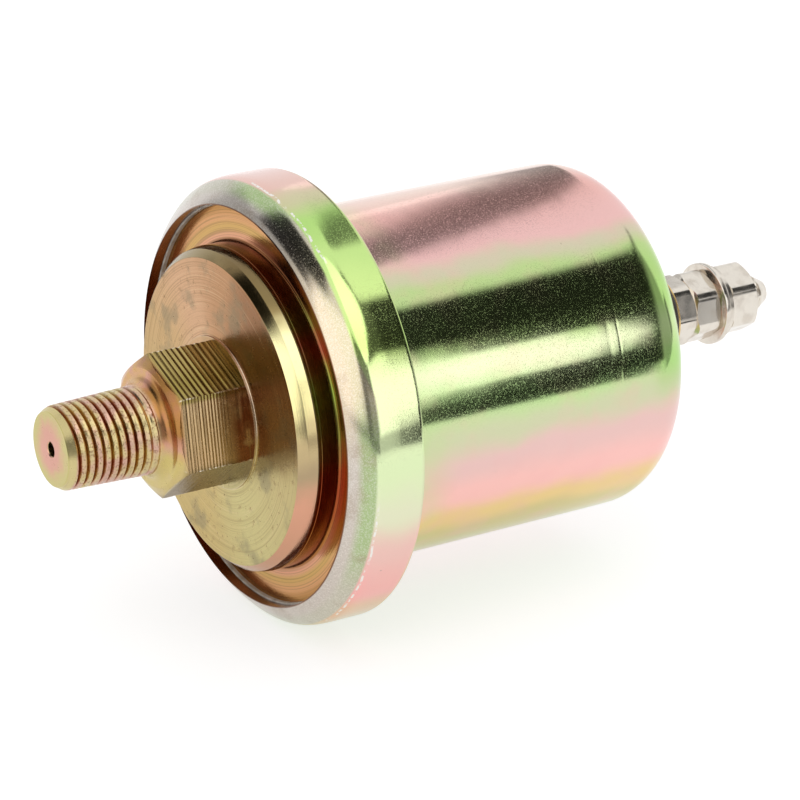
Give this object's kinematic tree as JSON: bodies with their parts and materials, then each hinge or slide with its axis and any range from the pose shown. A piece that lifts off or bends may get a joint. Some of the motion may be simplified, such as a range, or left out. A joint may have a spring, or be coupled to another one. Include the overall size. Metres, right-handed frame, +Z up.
{
  "type": "oil pressure sender",
  "caption": "Round engine oil pressure sender: taper-thread stem with hexagon, rolled-rim can, and a threaded terminal stud with nuts.",
  "frame": {"origin": "on the sender's axis, where the big end of the taper thread meets the neck fillet", "axes": "+X along the axis from the threaded stem to the terminal, +Z up with the rocker's wiper arm above its shaft at rest, +Y along the rocker's shaft"},
  "size_m": [0.0991, 0.053, 0.053],
  "materials": {
    "plated_fitting": "turned steel with worn yellow zinc plating, golden to olive with pink and green tints",
    "plated_can": "drawn steel sheet with yellow zinc plating, pale green, pink and straw tints",
    "packing": "grey pressed packing",
    "brass": "plain machined",
    "bronze": "rolled spring bronze",
    "gasket_rubber": "matt",
    "plain_steel": "bright zinc plated",
    "contact_silver": "polished silver alloy",
    "card": "resin-bonded paper",
    "resistance_wire": "fine bare wire, close wound",
    "insulator": "moulded resin",
    "terminal_steel": "nickel plated, slightly dull",
    "seat_brass": "plain stamped"
  },
  "bodies": {
    "root": {"base_fitting": "plated_fitting", "restrictor_plug": "brass", "packing_ring": "packing", "housing_can": "plated_can", "diaphragm": "bronze", "diaphragm_gasket": "gasket_rubber", "support_plate": "plain_steel", "return_spring": "plain_steel", "bridge_frame": "plain_steel", "bridge_pillars": "plain_steel", "pillar_screws": "plain_steel", "rocker_shaft": "plain_steel", "resistor_card": "card", "resistance_winding": "resistance_wire", "card_holders": "insulator", "contact_strip": "brass", "inner_insulator": "insulator", "insulating_bush": "insulator", "terminal_stud": "terminal_steel", "seat_washer": "seat_brass", "clamp_nut": "terminal_steel", "middle_nut": "terminal_steel", "flat_washer": "terminal_steel", "lock_washer": "terminal_steel", "terminal_nut": "terminal_steel"},
    "thrust_pad": {"thrust_pad": "brass"},
    "rocker": {"rocker_lever": "plain_steel", "wiper_spring": "bronze", "wiper_contact": "contact_silver"}
  },
  "joints": [
    {"name": "pad_slide", "type": "slide", "parent": "root", "child": "thrust_pad", "axis": [1, 0, 0], "range_m": [0, 0.0015], "stiffness_N_per_m": 2700, "deforming": ["return_spring", "diaphragm"]},
    {"name": "rocker_turn", "type": "hinge", "parent": "root", "child": "rocker", "pos_m": [0.03211, 0, -0.00373], "axis": [0, 1, 0], "range_deg": [0, 22.77]}
  ],
  "couplings": [
    {"joint": "rocker_turn", "follows": "pad_slide", "rad_per_m": 264.9}
  ]
}
